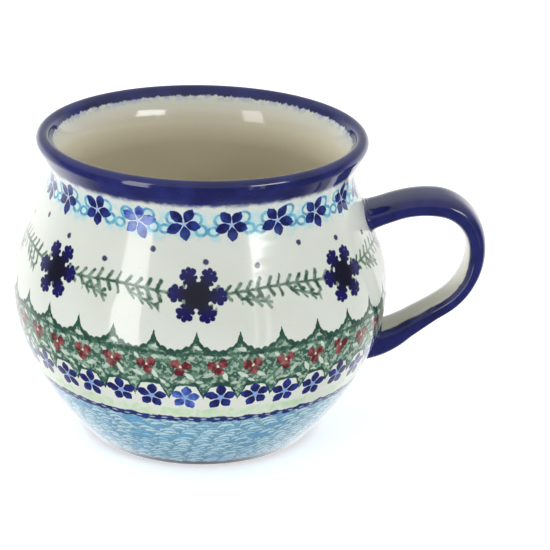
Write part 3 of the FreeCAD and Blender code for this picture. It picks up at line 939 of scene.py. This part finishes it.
def paint_scales(p):
    """Overlapping crescent strokes in blues that cover the lower wall."""
    zone = (p.run + (p.cloud - 0.5) * 1.2).soft(24.9, 24.2) * p.run.soft(-1.9, -1.5)
    p.lay(zone, p.blend(p.cloud.soft(0.3, 0.7), *SCALE_GROUND))
    for seed, drop, count in SCALE_LAYERS:
        rows = (p.run + drop) * (1 / SCALE_PITCH)
        row = rows.math("FLOOR")
        _, shift = p.chance(row + seed)
        cells = p.azimuth * (count / (2 * math.pi)) + shift
        index = cells.math("FLOOR").math("WRAP", float(count), 0.0)
        _, luck = p.chance(index, row + seed)
        x = (cells.math("FRACT") - 0.5) * (2 * math.pi * SCALE_RADIUS / count)
        y = (rows.math("FRACT") - 0.5) * SCALE_PITCH
        where = p.vector("ADD", p.join(x, y), p.vector("MULTIPLY", p.waver, (3.2, 2.2, 0.0)))
        where = p.vector("MULTIPLY", where, (0.58, 1.0, 0.0))
        crescent = p.spot(where, (0.0, -0.55), 1.5).most(p.spot(where, (0.25, -1.9), 1.6) * -1)
        tint = p.blend(luck.soft(0.5, 1.0), *SCALE_TINT)
        p.lay(crescent.within(0.5) * zone * 0.8, tint)
        p.lay(abs(crescent).soft(0.36, 0.08) * zone * 0.62, SCALE_LINE)
        p.lay(crescent.within(0.5) * zone * luck.soft(0.88, 0.92) * 0.7, SCALE_STRONG)
    # a dark navy line round the foot's edge: partly a painted blue line, partly painted shadow where the
    # foot meets the table
    p.lay((abs(p.run - 0.1) - 1.25 - (p.cloud - 0.5) * 0.7).within(0.5), FOOT_LINE_AND_SHADE)


def paint_rim(p):
    """Cobalt brushed over the lip, feathered at its edge inside the mug."""
    ragged = p.noise(0.8, 2.0, stretch=(1.0, 1.0, 0.35))
    outer = p.run.soft(87.8, 90.2)
    inner_edge = (ragged - 0.5) * 1.8 + RIM_INNER_EDGE
    fringe = (p.run - inner_edge).soft(2.0, 0.4)
    core = (p.run - inner_edge).soft(0.35, -0.25)
    p.lay(outer * fringe * p.cloud.soft(0.2, 0.7) * 0.5, RIM_FRINGE)
    cobalt = p.blend(p.noise(0.12, 3.0).soft(0.3, 0.75), *RIM_COBALT)
    p.lay((p.run + (p.cloud - 0.5) * 0.5).soft(88.9, 90.8) * core, cobalt)


def finish_glaze(p, bare=None):
    """Glossy glaze with a faint orange-peel surface; `bare`, where given, is 1 on unglazed clay."""
    shader = p.shader.inputs
    feed(p.tree, shader["Base Color"], p.colour)
    sheen = p.noise(0.25, 3.0)
    rough = sheen.times_plus(0.06, 0.07)
    if bare is not None:
        rough = rough.most(bare * 0.75)
    feed(p.tree, shader["Roughness"], rough)
    shader["IOR"].default_value = GLAZE_IOR
    shader["Coat Weight"].default_value = GLAZE_COAT
    shader["Coat Roughness"].default_value = COAT_ROUGHNESS
    shader["Specular IOR Level"].default_value = 0.5
    bump = p.tree.nodes.new("ShaderNodeBump")
    bump.inputs["Strength"].default_value = PEEL_STRENGTH
    bump.inputs["Distance"].default_value = PEEL_DEPTH * MM
    feed(p.tree, bump.inputs["Height"], p.noise(0.11, 1.0) + p.noise(0.6, 2.0) * 0.12)
    p.tree.links.new(bump.outputs[0], shader["Normal"])


def painted_body():
    """The body's glaze and all its bands. `run` goes up the outside, over the lip and down the inside."""
    p = Painter("glazed_body", WHITE_GLAZE)
    p.azimuth = p.x.math("ARCTAN2", p.y * -1)
    p.run = p.attribute("run")
    p.cloud = p.noise(0.42, 3.0).soft(0.25, 0.75)
    p.density = p.cloud.times_plus(-0.3, 1.05)
    p.waver = p.vector("MULTIPLY_ADD", p.noise(1.1, 1.0, colour=True), (0.5, 0.5, 0.0), (-0.25, -0.25, 0.0))
    mottle = p.noise(0.05, 3.0)
    p.lay(mottle.soft(0.35, 0.7) * 0.35, WARM_GLAZE)
    # from just under the lip down, the inside is laid a darker, warmer cream: partly its own glaze, partly
    # painted shade of the hollow
    p.lay(p.run.soft(101.0, 112.0), INSIDE_GLAZE_AND_SHADE)
    paint_neck(p)
    paint_dots(p)
    paint_garland(p)
    paint_snowflakes(p)
    paint_lace(p)
    paint_small_flowers(p)
    paint_hem_lines(p)
    paint_scales(p)
    paint_rim(p)
    bare = p.z.soft(0.14, 0.04)
    p.lay(bare, p.blend(p.noise(1.5, 3.0).soft(0.35, 0.65), *BARE_CLAY))
    speck = p.noise(2.2, 1.0).soft(0.74, 0.78)
    p.lay(speck * 0.35, SPECK)
    finish_glaze(p, bare)
    return p.material


def painted_strap():
    """Cobalt over the strap's outer face and edges; the inside of the loop stays off-white."""
    ground, light = COBALT_GLAZE
    p = Painter("glazed_handle", ground)
    p.lay(p.noise(0.22, 3.0).soft(0.25, 0.75), light)
    inner = p.attribute("inner")
    edge = inner + (p.noise(0.3, 2.0) - 0.5) * 0.12
    p.lay(edge.soft(0.86, 0.91), STRAP_INSIDE)
    finish_glaze(p)
    return p.material


def painted_slip():
    """Cobalt that the slip joints are brushed over with."""
    ground, light = COBALT_GLAZE
    p = Painter("glazed_slip", ground)
    p.lay(p.noise(0.25, 3.0).soft(0.3, 0.7), light)
    finish_glaze(p)
    return p.material


# --- studio ----------------------------------------------------------------------------------

def make_camera():
    """The photo's viewpoint, with the horizon tilted a little."""
    data = bpy.data.cameras.new("camera")
    data.sensor_width = SENSOR_WIDTH
    data.lens = CAMERA_LENS
    data.clip_start = 0.02
    camera = bpy.data.objects.new("camera", data)
    bpy.context.collection.objects.link(camera)
    forward = Vector((math.sin(CAMERA_YAW) * math.cos(CAMERA_PITCH),
                      math.cos(CAMERA_YAW) * math.cos(CAMERA_PITCH), -math.sin(CAMERA_PITCH)))
    right = forward.cross(Vector((0, 0, 1))).normalized()
    up = right.cross(forward)
    across = right * math.cos(CAMERA_ROLL) + up * math.sin(CAMERA_ROLL)
    above = up * math.cos(CAMERA_ROLL) - right * math.sin(CAMERA_ROLL)
    turn = Matrix((across, above, -forward)).transposed()
    camera.matrix_world = Matrix.Translation((0, -CAMERA_DISTANCE, CAMERA_HEIGHT)) @ turn.to_4x4()
    bpy.context.scene.camera = camera


def aim(place, target):
    """The rotation that points a lamp from one place at another."""
    return (Vector(target) - Vector(place)).to_track_quat("-Z", "Y").to_euler()


def area_light(name, place, target, width, height, radiance):
    """A flat lamp that looks equally bright, `radiance`, from every side."""
    data = bpy.data.lights.new(name, "AREA")
    data.shape = "RECTANGLE"
    data.size = width
    data.size_y = height
    data.energy = radiance * math.pi * width * height
    lamp = bpy.data.objects.new(name, data)
    bpy.context.collection.objects.link(lamp)
    lamp.location = place
    lamp.rotation_euler = aim(place, target)
    return lamp


def softbox(name, left, right, low, high, radiance):
    """An upright lamp that fills the given degrees round the mug and up from its middle."""
    middle = math.radians((left + right) / 2)
    width = 2 * SOFTBOX_DISTANCE * math.tan(math.radians(right - left) / 2)
    bottom = SOFTBOX_DISTANCE * math.tan(math.radians(low))
    top = SOFTBOX_DISTANCE * math.tan(math.radians(high))
    place = (SOFTBOX_DISTANCE * math.sin(middle), -SOFTBOX_DISTANCE * math.cos(middle),
             MUG_MIDDLE + (bottom + top) / 2)
    return area_light(name, place, (0, 0, place[2]), width, top - bottom, radiance)


def make_floor():
    """A pale table that glows a little, and that the glaze doesn't mirror."""
    mesh = bpy.data.meshes.new("floor")
    corners = [(-1, -1), (1, -1), (1, 1), (-1, 1)]
    mesh.from_pydata([(x * TABLE_REACH, y * TABLE_REACH, 0) for x, y in corners], [], [(0, 1, 2, 3)])
    floor = bpy.data.objects.new("floor", mesh)
    bpy.context.collection.objects.link(floor)
    paper = bpy.data.materials.new("paper")
    paper.use_nodes = True
    shader = paper.node_tree.nodes["Principled BSDF"]
    shader.inputs["Base Color"].default_value = (TABLE_WHITE, TABLE_WHITE, TABLE_WHITE, 1)
    shader.inputs["Roughness"].default_value = 0.9
    shader.inputs["Specular IOR Level"].default_value = 0.0
    shader.inputs["Emission Color"].default_value = (1, 1, 1, 1)
    shader.inputs["Emission Strength"].default_value = TABLE_GLOW
    mesh.materials.append(paper)
    floor.visible_glossy = False


def make_sky():
    """A white backdrop behind the mug and soft light above; dim in front and below."""
    world = bpy.data.worlds.new("studio")
    world.use_nodes = True
    tree = world.node_tree
    background = tree.nodes["Background"]
    direction = tree.nodes.new("ShaderNodeTexCoord").outputs["Generated"]
    axes = tree.nodes.new("ShaderNodeSeparateXYZ")
    tree.links.new(direction, axes.inputs[0])
    _, y, z = [Value(tree, out) for out in axes.outputs]
    sky = z.soft(0.12, 0.62) * (SKY_ABOVE - SKY_BELOW) + SKY_BELOW
    backdrop = y.soft(0.1, 0.75) * (z.soft(0.3, -0.1) * (TABLE_BEHIND - BACKDROP) + BACKDROP)
    feed(tree, background.inputs["Strength"], sky.most(backdrop))
    background.inputs["Color"].default_value = (1, 1, 1, 1)
    bpy.context.scene.world = world


def make_studio():
    make_floor()
    make_sky()
    for lamp in WINDOWS:
        softbox(*lamp)
    for lamp in TENT_WALLS:
        softbox(*lamp).visible_glossy = False
    bpy.context.scene.view_settings.view_transform = "Standard"


body = make_body(painted_body())
strap = make_handle(painted_strap())
upper_slip, lower_slip = [make_slip(*joint, painted_slip()) for joint in SLIP_JOINTS]
for piece, node, slot in ((body, "mug_body", "glazed_body"),
                          (strap, "handle", "glazed_handle"),
                          (upper_slip, "upper_slip_joint", "glazed_slip"),
                          (lower_slip, "lower_slip_joint", "glazed_slip")):
    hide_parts(node)
    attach(piece, "root")
make_camera()
make_studio()
